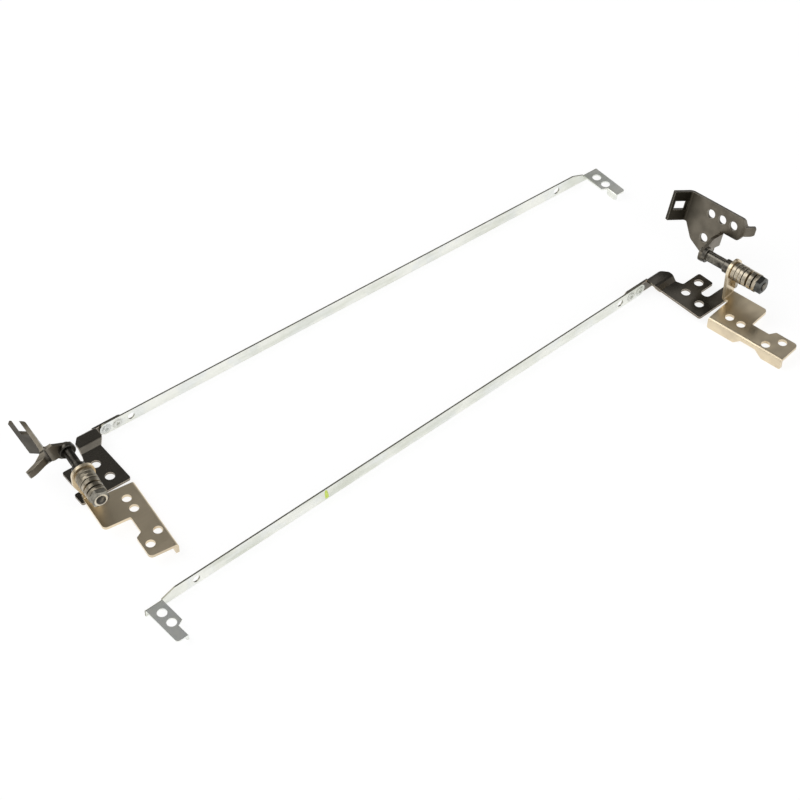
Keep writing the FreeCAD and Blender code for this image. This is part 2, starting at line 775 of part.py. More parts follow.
def rail_strip(label, hand):
    """Thin strip on its edge, rounded at the hinge end, with a two-hole flag at the far end."""
    body = new_body(label)
    stock = D["strip_stock"]
    wall = new_sketch(body, label + "Wall", "YZ_Plane", -stock)
    nose = D["strip_nose"]
    wall_outline = [
        (D["strip_start"], 0.0, nose),
        (FLAG_START, 0.0),
        (FLAG_START, D["flag_height"]),
        (TAPER_START, D["strip_height"], nose),
        (D["strip_start"], D["strip_height"], nose),
    ]
    add_outline(wall, [(c[0] * hand, c[1], *c[2:]) for c in wall_outline])
    for across in (as_size(0.0), D["side_hole_pitch"]):
        add_circle(wall, across * hand, D["side_hole_height"], D["side_hole"])
    for across in (D["rivet_one"], D["rivet_two"]):
        add_circle(wall, across * hand, D["side_hole_height"], D["rivet_shank"] + D["seat_fit"] * 2)
    add_pad(body, wall, stock)

    fold = new_sketch(body, label + "Fold", "XZ_Plane", -FLAG_END * hand)
    outer = stock + D["strip_bend"]
    flag_under = D["flag_height"] - stock
    add_outline(fold, [
        (-stock, 0.0),
        (0.0, 0.0),
        (0.0, flag_under, D["strip_bend"]),
        (D["flag_length"], flag_under),
        (D["flag_length"], D["flag_height"]),
        (-stock, D["flag_height"], outer),
    ])
    add_pad(body, fold, FLAG_END - FLAG_START, back=hand < 0)

    step = FLAG_STEP - FLAG_START
    notch = new_sketch(body, label + "Notch", "XY_Plane")
    lip_start = D["flag_notch"] + D["flag_slant"]
    notch_outline = [
        (D["flag_notch"], FLAG_START - step),
        (D["flag_length"] + step, FLAG_START - step),
        (D["flag_length"] + step, FLAG_STEP),
        (lip_start, FLAG_STEP),
        (D["flag_notch"], FLAG_START),
    ]
    add_outline(notch, [(c[0], c[1] * hand) for c in notch_outline])
    for index in range(2):
        along = D["flag_hole_one"] + D["flag_hole_pitch"] * index
        add_circle(notch, along, FLAG_HOLES * hand, D["flag_hole"])
    add_through_cut(body, notch)

    lip = new_sketch(body, label + "Lip", "XZ_Plane", -FLAG_STEP * hand)
    add_outline(lip, [
        (lip_start, D["flag_height"]),
        (lip_start, 0.0, D["flag_corner"]),
        (D["flag_length"], 0.0, D["flag_corner"]),
        (D["flag_length"], D["flag_height"]),
    ])
    feature = add_pad(body, lip, stock, back=hand > 0)
    bend_place = {"y": FLAG_STEP.number * hand, "z": D["flag_height"].number}
    feature = add_bend(body, feature, label + "LipBend", "x", [bend_place], D["lip_bend"])
    corner = {"x": D["flag_length"].number, "y": FLAG_END.number * hand}
    add_bend(body, feature, label + "FlagCorner", "z", [corner], D["flag_corner"])
    return body


def rail_plate(label, hand):
    """Joggled screw plate whose folded wall runs on as a tongue behind the strip."""
    body = new_body(label)
    stock, back_face = D["plate_stock"], -D["strip_stock"]
    outside = back_face - stock
    rise = math.atan2((D["plate_raised"] - D["plate_low"]).number, (D["ramp_end"] - D["ramp_start"]).number)
    mitre = math.tan(rise / 2)
    bend, outer = D["plate_bend"], D["plate_bend"] + stock
    fold = new_sketch(body, label + "Fold", "XZ_Plane", -D["shoulder_front"] * hand)
    raised_under, low_under = D["plate_raised"] - stock, D["plate_low"] - stock
    add_outline(fold, [
        (outside, 0.0),
        (back_face, 0.0),
        (back_face, raised_under, bend),
        (D["ramp_start"] - stock * mitre, raised_under, bend),
        (D["ramp_end"] - stock * mitre, low_under, outer),
        (D["plate_end"], low_under),
        (D["plate_end"], D["plate_low"]),
        (D["ramp_end"], D["plate_low"], bend),
        (D["ramp_start"], D["plate_raised"], outer),
        (outside, D["plate_raised"], outer),
    ])
    add_pad(body, fold, D["shoulder_front"] - D["finger_back"], back=hand < 0)

    trim = new_sketch(body, label + "Trim", "XY_Plane")
    margin = D["plate_end"] - D["tab_end"]
    far, near = outside - margin, D["plate_end"] + margin
    front, rear = D["shoulder_front"] + margin, D["finger_back"] - margin
    frame = [(far, rear), (near, rear), (near, front), (far, front)]
    corner = D["plate_corner"]
    outline = [
        (outside - stock, D["shoulder_front"] + stock),
        (D["ramp_start"], D["shoulder_front"] + stock),
        (D["ramp_start"], D["shoulder_front"]),
        (D["ramp_end"], D["plate_front"]),
        (D["plate_end"], D["plate_front"], corner),
        (D["plate_end"], D["finger_back"], corner),
        (D["finger_start"], D["finger_back"], corner),
        (D["finger_start"], D["slot_front"], D["slot_corner"]),
        (D["tab_end"], D["slot_front"], D["slot_corner"]),
        (D["tab_end"], D["plate_tab_back"], corner),
        (D["tab_start"], D["plate_tab_back"], corner),
        (D["tab_start"], D["shoulder_back"] - stock, corner),
        (D["ramp_end"], D["shoulder_back"]),
        (D["shoulder_cut_along"], D["shoulder_back"], corner),
        (outside, D["shoulder_back"] + D["shoulder_cut_across"]),
        (outside - stock, D["shoulder_back"] + D["shoulder_cut_across"]),
    ]
    for corners in (frame, outline):
        add_outline(trim, [(c[0], c[1] * hand, *c[2:]) for c in corners])
    for name in "abc":
        add_circle(trim, D[f"hole_{name}_along"], D[f"hole_{name}_across"] * hand, D["plate_hole"])
    add_through_cut(body, trim)

    tongue = new_sketch(body, label + "Tongue", "YZ_Plane", outside)
    tongue_outline = [
        (D["shoulder_front"] - stock, 0.0),
        (D["tongue_end"], 0.0, corner),
        (D["tongue_end"], D["tongue_top"], corner * 2),
        (D["shoulder_front"] - stock, D["tongue_top"]),
    ]
    add_outline(tongue, [(c[0] * hand, c[1], *c[2:]) for c in tongue_outline])
    for across in (D["rivet_one"], D["rivet_two"]):
        add_circle(tongue, across * hand, D["side_hole_height"], D["rivet_shank"] + D["seat_fit"] * 2)
    add_pad(body, tongue, stock)
    return body


def rail_rivet(label):
    """Clinch rivet: a dimpled face on the strip, a shank and a flattened back on the tongue."""
    body = new_body(label)
    front = D["rivet_lip"]
    rear = -(D["strip_stock"] + D["plate_stock"])
    tail = rear - D["rivet_lip"]
    add_turning(body, label + "Turned", [
        (front - D["rivet_dimple_depth"], 0.0),
        (front - D["rivet_dimple_depth"], D["rivet_dimple"] / 2),
        (front, D["rivet_dimple"] / 2),
        (front, D["rivet_face"] / 2, D["edge_break"]),
        (0.0, D["rivet_face"] / 2),
        (0.0, D["rivet_shank"] / 2),
        (rear, D["rivet_shank"] / 2),
        (rear, D["rivet_face"] / 2),
        (tail, D["rivet_face"] / 2, D["edge_break"]),
        (tail, 0.0),
    ])
    return body


def build_set(side, hand):
    """One hinge and its rail, each piece put where it lies on the table."""
    table = shift(D[f"{side}_set_x"], D[f"{side}_set_y"], 0.0)
    table = table.multiply(turn_about(UP, -D["set_angle"].number * hand))
    hinge = table.multiply(shift(HINGE_ALONG, HINGE_ACROSS * hand, 0.0))
    hinge = hinge.multiply(turn_about(UP, -D["hinge_angle"].number * hand))
    shaft = hinge.multiply(shift(0.0, D["shaft_across"] * hand, D["shaft_height"]))
    arm = shaft.multiply(turn_about(ALONG, D[f"{side}_lean_angle"].number * hand))
    pieces = []

    def put(body, placement):
        body.Placement = placement
        pieces.append(body)

    put(lid_bracket(f"{side}_lid_bracket", hand), hinge)
    put(base_arm(f"{side}_base_arm", side, hand), arm)
    put(hinge_shaft(f"{side}_hinge_shaft"), arm)
    put(friction_washer(f"{side}_friction_washer"), shaft)
    for name, start in (("thrust", THRUST_START), ("spacer", THRUST_END)):
        put(plain_washer(f"{side}_{name}_washer", start, D[f"{name}_stock"], D["stack_diameter"]), arm)
    for index in range(SPRINGS):
        put(spring_washer(f"{side}_spring_washer_{index + 1}", index), arm)
    put(plain_washer(f"{side}_end_washer", SPRING_END, D["end_washer_stock"], D["spring_diameter"]), arm)
    put(end_nut(f"{side}_end_nut"), arm)

    put(rail_strip(f"{side}_rail_strip", hand), table)
    put(rail_plate(f"{side}_rail_plate", hand), table)
    for index, name in enumerate(("one", "two"), start=1):
        seat = table.multiply(shift(0.0, D[f"rivet_{name}"] * hand, D["side_hole_height"]))
        put(rail_rivet(f"{side}_rail_rivet_{index}"), seat)
    return pieces


def check(pieces):
    """Stops before anything is written if a feature failed or a solid is wrong."""
    failed = [item.Name for item in doc.Objects if {"Invalid", "Error"} & set(item.State)]
    if failed:
        raise RuntimeError("failed features: " + ", ".join(failed))
    for piece in pieces:
        if piece.Shape.isNull() or not piece.Shape.isValid() or len(piece.Shape.Solids) != 1:
            raise RuntimeError(f"{piece.Label}: not one valid solid")


def main():
    pieces = build_set("left", 1) + build_set("right", -1)
    doc.recompute()
    check(pieces)
    os.makedirs("parts", exist_ok=True)
    for piece in pieces:
        piece.Shape.exportStep(f"parts/{piece.Label}.step")


main()
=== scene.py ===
import json
import math

import bpy
import numpy as np
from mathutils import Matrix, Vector


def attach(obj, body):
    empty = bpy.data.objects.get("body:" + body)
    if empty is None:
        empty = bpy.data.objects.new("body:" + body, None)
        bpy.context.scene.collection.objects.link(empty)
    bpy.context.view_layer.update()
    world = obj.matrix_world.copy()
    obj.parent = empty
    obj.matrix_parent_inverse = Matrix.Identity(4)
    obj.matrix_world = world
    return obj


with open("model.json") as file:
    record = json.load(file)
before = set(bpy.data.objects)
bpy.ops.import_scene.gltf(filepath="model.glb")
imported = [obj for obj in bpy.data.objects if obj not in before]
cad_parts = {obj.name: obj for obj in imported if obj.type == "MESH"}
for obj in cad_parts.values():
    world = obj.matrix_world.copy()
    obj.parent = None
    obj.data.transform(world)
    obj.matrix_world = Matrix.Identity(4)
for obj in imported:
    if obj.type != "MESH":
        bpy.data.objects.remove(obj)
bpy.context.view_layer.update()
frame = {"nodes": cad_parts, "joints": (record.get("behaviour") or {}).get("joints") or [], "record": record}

bl_info = {
    "name": "Laptop hinge set",
    "version": (1, 0, 0),
    "blender": (4, 5, 0),
    "location": "View3D > Sidebar > Hinges",
    "description": "Finishes and small details for a pair of laptop hinges with side rails",
    "category": "Object",
}

NODES = frame["nodes"]
HINGES = {joint["name"].split("_")[0]: joint for joint in frame["joints"]}
MOUNTS = {mount["name"]: mount for mount in frame["record"]["mounts"]}
SIDES = ("left", "right")
MM = 0.001
QUARTER_TURN = math.pi / 2
WHOLE_TURN = 2.0 * math.pi
UP = np.array([0.0, 0.0, 1.0])

# Noise scales of the finishes, in repeats per metre
HANDLING = 110.0
CLOUDS = 130.0
SHEEN = 190.0
OIL = 360.0
ROLLING = 420.0
DRAWING = 900.0
BRUSHING = 1500.0
CRYSTALS = 4200.0
TOOTH = 5200.0

# Stretch of the noises that run along a sheet, a strip or a brush
ROLLED = (1.0, 0.06, 1.0)
DRAWN = (1.0, 0.02, 1.0)
CLOUDED = (1.0, 0.5, 1.0)
BRUSHED = (1.0, 0.2, 1.0)

NOISE_ROUGHNESS = 0.55

# Fine relief of the finishes
LATHE_PITCH = 0.21 * MM
METAL_RELIEF = 0.02 * MM
PAINT_RELIEF = 0.03 * MM

# Middle roughness of each metal, by the name of its colour
ROUGHNESS = {
    "bronze": 0.32, "gunmetal": 0.33, "black": 0.27,
    "shaft": 0.24, "washer": 0.28, "nut": 0.30, "nut_worn": 0.30,
}
STRIP_METALLIC = 0.92
RIVET_METALLIC = 0.35

# Where an edge, a face along an axis and the painted highlight on a nut's end begin and are complete, by
# their normals
EDGE_BEND = (0.02, 0.22)
FACE_ALONG = (0.3, 0.6)
NUT_END_HIGHLIGHT = (0.90, 0.97)
EDGE_SAMPLES = 6

# Sockets of the colour mix node
MIX_INPUTS = (0, 6, 7)
MIX_RESULT = 2

# Steps of the added surfaces
ROUND_STEPS = 48
BUTTON_STEPS = 15
RING_STEPS = 16
STROKE_STEPS = (33, 32)
FLOOR_STEPS = 9

# A button's rows start just off its middle and end below its rim
BUTTON_START = 0.02
BUTTON_SUNK = 0.15
# The stroke's rows stop just short of its two tips
STROKE_TIP = 0.99

# Lamps: place and size in metres, power in watts
LAMPS = {
    "key": ((-0.75, -0.65, 1.15), 1.3, 9.0),
    "fill": ((1.05, -0.15, 0.75), 0.9, 3.0),
    "back": ((-0.66, 0.97, 1.02), 0.5, 0.3),
}
SENSOR_WIDTH = 36.0
CLIP_START, CLIP_END = 0.01, 100.0
FLOOR_DROP = 0.1 * MM
FLOOR_GREY = 0.9
FLOOR_ROUGHNESS = 0.9


# Sizes and colours that a user would change

def colour(name, description, default):
    return bpy.props.FloatVectorProperty(
        name=name, description=description, subtype="COLOR", size=3, min=0.0, max=1.0,
        default=default)


def length(name, description, millimetres):
    return bpy.props.FloatProperty(
        name=name, description=description, subtype="DISTANCE", unit="LENGTH",
        default=millimetres * MM)


def angle(name, description, degrees):
    return bpy.props.FloatProperty(
        name=name, description=description, subtype="ANGLE", unit="ROTATION",
        default=math.radians(degrees))


def amount(name, description, default, top=1.0):
    return bpy.props.FloatProperty(
        name=name, description=description, subtype="FACTOR", min=0.0, max=top, default=default)


class HingeColours(bpy.types.PropertyGroup):
    """Colours of the plated and bare metals."""
    bronze: colour("Bronze plating", "Plating on the lid brackets", (0.81, 0.69, 0.495))
    bronze_dull: colour("Dull bronze", "Handled patches on the lid brackets", (0.66, 0.56, 0.41))
    # Edge colour: rubbed metal at the edges, partly a painted edge highlight
    bronze_cut: colour("Bronze edge", "Rubbed edges of the lid brackets, with a painted edge highlight", (0.92, 0.83, 0.66))
    gunmetal: colour("Gunmetal plating", "Plating on the base arms", (0.195, 0.173, 0.137))
    gunmetal_dull: colour(
        "Dull gunmetal", "Handled patches on the base arms", (0.125, 0.111, 0.088))
    # Edge colour: rubbed metal at the edges, partly a painted edge highlight
    gunmetal_cut: colour("Gunmetal edge", "Rubbed edges of the base arms, with a painted edge highlight", (0.46, 0.42, 0.35))
    # Painted shade laid on the arms' flanges, standing in for a dark reflection
    gunmetal_painted_shade: colour(
        "Gunmetal flange shade", "Painted shade on the flanges of the base arms", (0.022, 0.019, 0.013))
    shaft: colour("Shaft steel", "Darkened steel of the shafts", (0.20, 0.185, 0.155))
    shaft_dull: colour("Oiled shaft", "Oily patches on the shafts", (0.05, 0.046, 0.04))
    washer: colour("Washer steel", "Bare steel of the washers", (0.50, 0.44, 0.34))
    washer_dull: colour("Oiled washer", "Oil between the washers", (0.22, 0.195, 0.15))
    nut: colour("Nut steel", "Blackened steel of the right end nut", (0.13, 0.13, 0.12))
    nut_dull: colour("Oiled nut", "Oily patches on the right end nut", (0.06, 0.06, 0.055))
    nut_worn: colour(
        "Worn nut", "Steel of the left end nut where the black has gone", (0.34, 0.32, 0.27))
    nut_worn_dull: colour(
        "Oiled worn nut", "Oily patches on the left end nut", (0.15, 0.14, 0.12))
    # Painted highlight on the left nut's end face, standing in for its reflection
    nut_end_highlight: colour("Nut end highlight", "Painted highlight on the left nut's end face", (0.72, 0.66, 0.54))
    zinc: colour("Zinc plating", "Bright zinc on the rail strips", (0.90, 0.905, 0.845))
    zinc_dull: colour("Dull zinc", "Handled patches on the rail strips", (0.69, 0.71, 0.63))
    zinc_blue: colour(
        "Blue zinc", "Bluish sheen in the zinc of the rail strips", (0.76, 0.80, 0.84))
    zinc_cut: colour(
        "Cut zinc", "Bare cut edges and hole walls of the rail strips", (0.22, 0.21, 0.155))
    black: colour("Black plating", "Dark plating on the rail plates", (0.17, 0.155, 0.13))
    black_dull: colour("Dull black", "Handled patches on the rail plates", (0.10, 0.09, 0.075))
    # Edge colour of the rail plates: bare steel, partly a painted highlight and a painted reflection of the
    # floor on the cut faces
    black_cut: colour(
        "Bare lit edge", "Bare steel at the rubbed edges of the rail plates, with painted highlight and reflection", (0.76, 0.65, 0.53))
    paint: colour("Paint mark", "Paint stroke on the right rail strip", (0.74, 0.92, 0.14))


class HingeDetails(bpy.types.PropertyGroup):
    """Sizes of the small details."""
    # The edge band is partly rubbed wear and partly a painted edge highlight
    edge_wear_and_highlight: length("Edge wear and highlight", "Width of the rubbed band along an edge, with its painted highlight", 0.16)
    # Band along the cut edges: painted light on the rail plates' cut faces, and kept out of the painted
    # shade on the flanges
    bare_and_lit_edge: length("Bare lit edge", "Width of the bare, painted-lit band on the cut edges of the sheets", 0.6)
    left_oil: amount("Left oil", "How far oil spreads on the left shaft and washers", 0.14)
    right_oil: amount("Right oil", "How far oil spreads on the right shaft and washers", 0.0)
    # The flange settings place and size the painted shade on the arms' flanges, and can keep their edges out
    # of it
    left_flange: length(
        "Left flange", "Way from the left hinge's middle to its arm's flange", 26.0)
    right_flange: length(
        "Right flange", "Way from the right hinge's middle to its arm's flange", 33.5)
    flange_fade: length(
        "Flange fade", "Width over which the painted shade on a flange fades into the arm", 6.5)
    left_flange_shade: amount("Left flange shade", "How dark the painted shade makes the left arm's flange", 0.7)
    right_flange_shade: amount("Right flange shade", "How dark the painted shade makes the right arm's flange", 0.85)
    left_flange_unshaded_edge: amount(
        "Left flange edge", "How far the edges of the left arm's flange stay out of the painted shade", 0.0)
    right_flange_unshaded_edge: amount(
        "Right flange edge", "How far the edges of the right arm's flange stay out of the painted shade", 1.0)
    ring_radius: length("Clinch ring", "Radius of the pressed ring round a rail rivet", 1.62)
    ring_width: length("Ring width", "Half width of the pressed ring", 0.26)
    ring_height: length("Ring height", "Height of the pressed ring above the strip", 0.05)
    button_radius: length("Shaft button", "Radius of the peened button on a shaft's end", 1.42)
    button_height: length("Button height", "Height of the peened button", 0.16)
    strip_half: length("Half strip", "Half the thickness of a rail strip", 0.25)
    stroke_place: length("Stroke place", "Way of the paint stroke from the strip's middle", 37.3)
    stroke_width: length("Stroke width", "Half width of the paint stroke", 0.62)
    stroke_low: length("Stroke foot", "Height of the paint stroke's lower end", 0.3)
    stroke_high: length("Stroke top", "Height of the paint stroke's upper end", 4.1)
    stroke_depth: length("Stroke depth", "Thickness of the paint", 0.04)


class HingeStage(bpy.types.PropertyGroup):
    """Camera, floor and light."""
    target: bpy.props.FloatVectorProperty(
        name="Target", description="Point on the floor at the middle of the picture",
        subtype="XYZ", unit="LENGTH", default=(-7.90 * MM, -6.39 * MM, 0.0))
    distance: length("Distance", "Way from the target to the camera", 633.53)
    turn: angle("Turn", "Camera's turn round the target", 50.35)
    height: angle("Height", "Camera's height above the floor as an angle", 46.197)
    lens: bpy.props.FloatProperty(
        name="Lens", description="Focal length on a 36 mm wide sensor",
        subtype="DISTANCE_CAMERA", default=93.13)
    floor_size: length("Floor", "Half width of the floor", 6000.0)
    floor_glow: amount(
        "Floor glow", "Share of the floor's white that doesn't take shadow", 0.74)
    floor_white: amount("Floor white", "Brightness of that share", 1.17, 2.0)
    sky_low: amount("Horizon", "Brightness of the room at the horizon", 1.0)
    sky_high: amount("Ceiling", "Brightness of the room overhead", 0.17)
    sky_start: amount("Ceiling start", "Height where the room begins to darken", 0.30)
    sky_end: amount("Ceiling end", "Height where the room is darkest", 0.64)
    sky_back: amount(
        "Dark back", "How far the dark of the ceiling comes down behind the set", 0.35)


# Nodes for the finishes and the room

class Nodes:
    """One node tree under construction, with short names for the nodes it uses."""

    def __init__(self, tree):
        self.tree = tree

    def add(self, kind, settings=None, **inputs):
        """New node of a kind; an input's name has underscores for its spaces."""
        node = self.tree.nodes.new(kind)
        for key, value in (settings or {}).items():
            setattr(node, key, value)
        for key, value in inputs.items():
            self.put(node.inputs[key.replace("_", " ")], value)
        return node

    def put(self, socket, value):
        """Links a socket to another one, or gives it a fixed value."""
        if isinstance(value, bpy.types.NodeSocket):
            self.tree.links.new(value, socket)
        elif socket.type == "RGBA":
            socket.default_value = (*value, 1.0)
        else:
            socket.default_value = value

    def feed(self, node, *values):
        """Gives values to a node's first inputs."""
        for socket, value in zip(node.inputs, values):
            self.put(socket, value)
        return node

    def maths(self, operation, *values):
        node = self.add("ShaderNodeMath", {"operation": operation})
        return self.feed(node, *values).outputs[0]

    def dot(self, first, second):
        node = self.add("ShaderNodeVectorMath", {"operation": "DOT_PRODUCT"})
        return self.feed(node, first, second).outputs["Value"]

    def blend(self, share, first, second):
        node = self.add("ShaderNodeMix", {"data_type": "RGBA"})
        for index, value in zip(MIX_INPUTS, (share, first, second)):
            self.put(node.inputs[index], value)
        return node.outputs[MIX_RESULT]

    def spread(self, value, low, high, to_low=0.0, to_high=1.0):
        """Value carried from one range to another, smoothly and without leaving it."""
        node = self.add("ShaderNodeMapRange", {"interpolation_type": "SMOOTHSTEP"})
        return self.feed(node, value, low, high, to_low, to_high).outputs[0]


class Finish(Nodes):
    """One material under construction."""

    def __init__(self, name):
        self.material = bpy.data.materials.new(name)
        self.material.use_nodes = True
        super().__init__(self.material.node_tree)
        self.shader = self.tree.nodes["Principled BSDF"]
        self.place = self.add("ShaderNodeTexCoord").outputs["Object"]

    def set(self, **inputs):
        """Gives values to the shader's inputs."""
        for key, value in inputs.items():
            self.put(self.shader.inputs[key.replace("_", " ")], value)

    def noise(self, scale, detail, stretch=(1.0, 1.0, 1.0), turn=0.0):
        where = self.add(
            "ShaderNodeMapping", Vector=self.place, Scale=stretch, Rotation=(0.0, 0.0, turn))
        node = self.add(
            "ShaderNodeTexNoise", Vector=where.outputs[0], Scale=scale, Detail=detail,
            Roughness=NOISE_ROUGHNESS)
        return node.outputs["Fac"]

    def edge(self, width):
        """One at the sharp edges of the solid and nothing on its flats."""
        rounded = self.add("ShaderNodeBevel", {"samples": EDGE_SAMPLES}, Radius=width).outputs[0]
        normal = self.add("ShaderNodeNewGeometry").outputs["Normal"]
        bend = self.maths("SUBTRACT", 1.0, self.dot(rounded, normal))
        return self.spread(bend, *EDGE_BEND)

    def facing(self, axis, across, along):
        """One value on faces that look across an axis of the set, and another on faces
        that look along it."""
        normal = self.add("ShaderNodeTexCoord").outputs["Normal"]
        part = self.add("ShaderNodeSeparateXYZ", Vector=normal).outputs[axis]
        return self.spread(self.maths("ABSOLUTE", part), *FACE_ALONG, across, along)

    def along(self, line):
        """Way along the axis of a hinge or of a pair of screws, from its middle."""
        way = self.add("ShaderNodeVectorMath", {"operation": "SUBTRACT"})
        self.feed(way, self.place, line["pos_m"])
        return self.dot(way.outputs[0], line["axis"])

    def tint(self, share, value):
        """Second colour laid over the shader's present one."""
        below = self.shader.inputs["Base Color"].links[0].from_socket
        self.set(Base_Color=self.blend(share, below, value))

    def bump(self, height, strength, distance):
        node = self.add("ShaderNodeBump", Strength=strength, Distance=distance, Height=height)
        return node.outputs[0]


def plated_sheet(name, key, scene, grain_turn=0.0):
    """Plated sheet steel: soft patches from handling, rolled grain, fine tooth and bright
    edges, partly rubbed and partly a painted edge highlight."""
    colours, rough = scene.hinge_colours, ROUGHNESS[key]
    finish = Finish(name)
    patches = finish.noise(HANDLING, 2.0)
    rolled = finish.noise(ROLLING, 3.0, ROLLED, grain_turn)
    tooth = finish.noise(TOOTH, 2.0)
    handled = finish.maths("MULTIPLY_ADD", rolled, 0.35, patches)
    dull = finish.spread(handled, 0.46, 0.92)
    base = finish.blend(dull, getattr(colours, key), getattr(colours, key + "_dull"))
    # Edge band in the lighter edge colour: rubbed wear, and a painted edge highlight
    wear = finish.spread(patches, 0.32, 0.55, 0.35, 0.9)
    rubbed_and_highlit = finish.maths("MULTIPLY", finish.edge(scene.hinge_details.edge_wear_and_highlight), wear)
    relief = finish.maths("MULTIPLY_ADD", tooth, 0.4, rolled)
    finish.set(
        Base_Color=finish.blend(rubbed_and_highlit, base, getattr(colours, key + "_cut")), Metallic=1.0,
        Roughness=finish.spread(dull, 0.0, 1.0, rough - 0.04, rough + 0.06),
        Normal=finish.bump(relief, 0.10, METAL_RELIEF))
    return finish


def turned_steel(name, key, colours, joint, oil_and_shade=0.0):
    """Turned steel: fine rings from the lathe across the shaft line, with oil in soft patches.
    More oil spreads the patches, and none of it leaves about half the metal bare."""
    rough = ROUGHNESS[key]
    finish = Finish(name)
    turns = finish.maths("MULTIPLY", finish.along(joint), WHOLE_TURN / LATHE_PITCH)
    relief = finish.maths("ADD", finish.maths("SINE", turns), finish.noise(TOOTH, 2.0))
    oiled = finish.spread(finish.noise(OIL, 2.0), 0.36 - oil_and_shade, 0.66 - oil_and_shade)
    finish.set(
        Base_Color=finish.blend(oiled, getattr(colours, key), getattr(colours, key + "_dull")),
        Metallic=1.0,
        Roughness=finish.spread(oiled, 0.0, 1.0, rough - 0.03, rough + 0.08),
        Normal=finish.bump(relief, 0.07, METAL_RELIEF))
    return finish


def zinc_plate(name, colours, metallic):
    """Bright zinc: cloudy grey patches along the strip, a bluish sheen, faint draw lines and
    fine crystal grain."""
    finish = Finish(name)
    clouds = finish.noise(CLOUDS, 5.0, CLOUDED)
    lines = finish.noise(DRAWING, 2.0, DRAWN)
    grain = finish.noise(CRYSTALS, 2.0)
    dull = finish.spread(finish.maths("MULTIPLY_ADD", lines, 0.3, clouds), 0.48, 0.92)
    sheen = finish.spread(finish.noise(SHEEN, 2.0), 0.42, 0.66, 0.0, 0.4)
    bright = finish.blend(sheen, colours.zinc, colours.zinc_blue)
    relief = finish.maths("MULTIPLY_ADD", grain, 0.5, lines)
    finish.set(
        Base_Color=finish.blend(dull, bright, colours.zinc_dull), Metallic=metallic,
        Roughness=finish.spread(dull, 0.0, 1.0, 0.32, 0.42),
        Normal=finish.bump(relief, 0.07, METAL_RELIEF))
    return finish


def paint_mark(name, colours):
    """Thick paint with paler brush streaks."""
    finish = Finish(name)
    streaks = finish.noise(BRUSHING, 3.0, BRUSHED)
    pale = tuple(0.5 + 0.5 * part for part in colours.paint)
    finish.set(
        Base_Color=finish.blend(
            finish.spread(streaks, 0.4, 0.75, 0.0, 0.3), colours.paint, pale),
        Roughness=finish.spread(streaks, 0.3, 0.7, 0.35, 0.55),
        Normal=finish.bump(streaks, 0.3, PAINT_RELIEF))
    return finish


def dress(finish, *names):
    """Gives a finish to solids of the frame."""
    for name in names:
        slots = NODES[name].data.materials
        slots.clear()
        slots.append(finish.material)


def on_both(*pieces):
    """Names of the same pieces on the left and on the right side."""
    return [f"{side}_{piece}" for side in SIDES for piece in pieces]


# Small details as surfaces on a grid of two parameters

def grid_mesh(name, points, close_columns=False, close_rows=False, caps=False):
    """Mesh from an array of points, rows by columns. Columns and rows may close on themselves,
    and closed columns may have a flat cap over the first and the last row."""
    rows, columns = points.shape[:2]
    index = np.arange(rows * columns).reshape(rows, columns)
    ends = [index[0, ::-1].tolist(), index[-1].tolist()] if caps else []
    if close_columns:
        index = np.concatenate([index, index[:, :1]], axis=1)
    if close_rows:
        index = np.concatenate([index, index[:1]], axis=0)
    corners = (index[:-1, :-1], index[:-1, 1:], index[1:, 1:], index[1:, :-1])
    faces = np.stack(corners, axis=-1).reshape(-1, 4).tolist()
    mesh = bpy.data.meshes.new(name)
    mesh.from_pydata(points.reshape(-1, 3).tolist(), [], faces + ends)
    mesh.shade_smooth()
    return mesh


def add_piece(name, points, finish, body, slot, **closing):
    """Piece from a grid of points, which rides on a body of the frame."""
    mesh = grid_mesh(name, points, **closing)
    mesh.materials.append(finish.material)
    piece = bpy.data.objects.new(name, mesh)
    bpy.context.scene.collection.objects.link(piece)
    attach(piece, body)


def node_points(name):
    """All corners of a solid as rows of x, y and z."""
    mesh = NODES[name].data
    points = np.empty(len(mesh.vertices) * 3)
    mesh.vertices.foreach_get("co", points)
    return points.reshape(-1, 3)


def frame_across(direction):
    """Unit length of a level direction, and the level direction square to it."""
    direction = np.array(direction) / np.linalg.norm(direction)
    return direction, np.cross(UP, direction)


def strip_face(side, details):
    """Middle of a rail strip's outer face, and the directions out of it and along it."""
    screws = MOUNTS[f"{side}_panel_screws"]
    direction, across = frame_across(screws["axis"])
    return np.array(screws["pos_m"]) + direction * details.strip_half, direction, across


def round_surface(centre, direction, radius, height):
    """Surface of revolution: centre + height(t) along direction + radius(t) (cos u, sin u)
    across it."""
    direction, side = frame_across(direction)
    turn = np.linspace(0.0, WHOLE_TURN, ROUND_STEPS, endpoint=False)[:, None]
    ring = np.cos(turn) * side + np.sin(turn) * UP
    return centre + radius[:, None, None] * ring + height[:, None, None] * direction


# Operators

class HINGES_OT_lid_brackets(bpy.types.Operator):
    """Bronze-coloured plating on the folded lid brackets"""
    bl_idname = "hinges.lid_brackets"
    bl_label = "Lid brackets"

    def execute(self, context):
        for side in SIDES:
            x, y, _ = HINGES[side]["axis"]
            grain_turn = -(math.atan2(y, x) + QUARTER_TURN)
            finish = plated_sheet(f"{side}_bronze_plate", "bronze", context.scene, grain_turn)
            dress(finish, f"{side}_lid_bracket")
        return {"FINISHED"}


